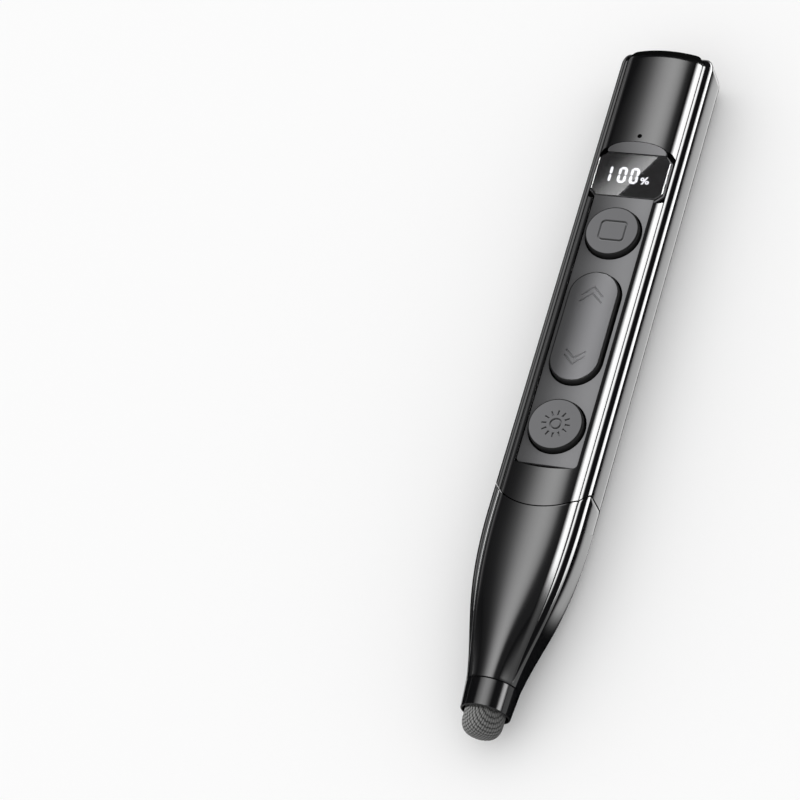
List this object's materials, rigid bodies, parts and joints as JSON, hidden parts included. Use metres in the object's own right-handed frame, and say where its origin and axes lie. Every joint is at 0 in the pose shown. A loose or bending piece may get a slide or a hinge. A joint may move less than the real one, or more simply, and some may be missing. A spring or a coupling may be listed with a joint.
{
  "type": "laser pointer pen",
  "caption": "Pen-shaped laser pointer remote: crowned cover set in a round-backed tub, pull-off tapered nose with a stylus tip, round keys, a tilting page key and a battery display.",
  "frame": {"origin": "middle of the bounding box's underside: on the flat back, half-way along the pen", "axes": "+Z out of the front face with the keys, +Y along the pen to the tail, where the laser leaves, +X to the right flank as seen with the tail up; the charging socket is in the -X flank"},
  "size_m": [0.0196, 0.15, 0.0147],
  "materials": {
    "shell_black": "high gloss",
    "cover_black": "high gloss",
    "collar_black": "satin gloss",
    "panel_grey": "matte",
    "key_grey": "matte",
    "window_smoke": "clear gloss over smoke grey",
    "display_block": "diffuse",
    "clear_pipe": "gloss",
    "white_plastic": "moulded",
    "switch_black": "moulded",
    "inner_black": "moulded",
    "board_green": "solder mask",
    "steel": "plated",
    "foil": "foil pouch",
    "foam": "foam",
    "brass": "turned",
    "glass": "polished",
    "window_red": "clear red gloss",
    "weave": "conductive weave"
  },
  "bodies": {
    "body": {"rear_shell": "shell_black", "front_cover": "cover_black", "control_panel": "panel_grey", "display_window": "window_smoke", "display_module": "display_block", "status_light": "clear_pipe", "status_led": "white_plastic", "rocker_axle": "steel", "function_switch": "switch_black", "page_up_switch": "switch_black", "page_down_switch": "switch_black", "laser_switch": "switch_black", "circuit_board": "board_green", "board_screw_front": "steel", "board_screw_tail": "steel", "battery_cell": "foil", "battery_pad": "foam", "laser_barrel": "brass", "laser_lens": "glass", "laser_diode": "steel", "laser_window": "window_red", "charge_port": "steel", "charge_tongue": "switch_black", "receiver_bay": "inner_black"},
    "function_key": {"function_key": "key_grey", "function_plunger": "white_plastic"},
    "laser_key": {"laser_key": "key_grey", "laser_plunger": "white_plastic"},
    "page_rocker": {"page_rocker": "key_grey", "page_up_plunger": "white_plastic", "page_down_plunger": "white_plastic"},
    "nose_cap": {"nose_cap": "cover_black", "tip_collar": "collar_black", "tip_core": "steel", "stylus_tip": "weave"},
    "receiver": {"receiver_head": "inner_black", "receiver_plug": "steel", "receiver_tongue": "white_plastic"}
  },
  "joints": [
    {"name": "function_key_press", "type": "slide", "parent": "body", "child": "function_key", "axis": [0, 0, -1], "range_m": [0, 0.0005], "stiffness_N_per_m": 2400},
    {"name": "laser_key_press", "type": "slide", "parent": "body", "child": "laser_key", "axis": [0, 0, -1], "range_m": [0, 0.0005], "stiffness_N_per_m": 2400},
    {"name": "page_rocker_tilt", "type": "hinge", "parent": "body", "child": "page_rocker", "pos_m": [0, 0.00918, 0.0107], "axis": [1, 0, 0], "range_deg": [-2.5, 2.5], "stiffness_Nm_per_rad": 0.27},
    {"name": "nose_pull", "type": "slide", "parent": "body", "child": "nose_cap", "axis": [0, -1, 0], "range_m": [0, 0.03]},
    {"name": "receiver_pull", "type": "slide", "parent": "body", "child": "receiver", "axis": [0, -1, 0], "range_m": [0, 0.0118]}
  ]
}
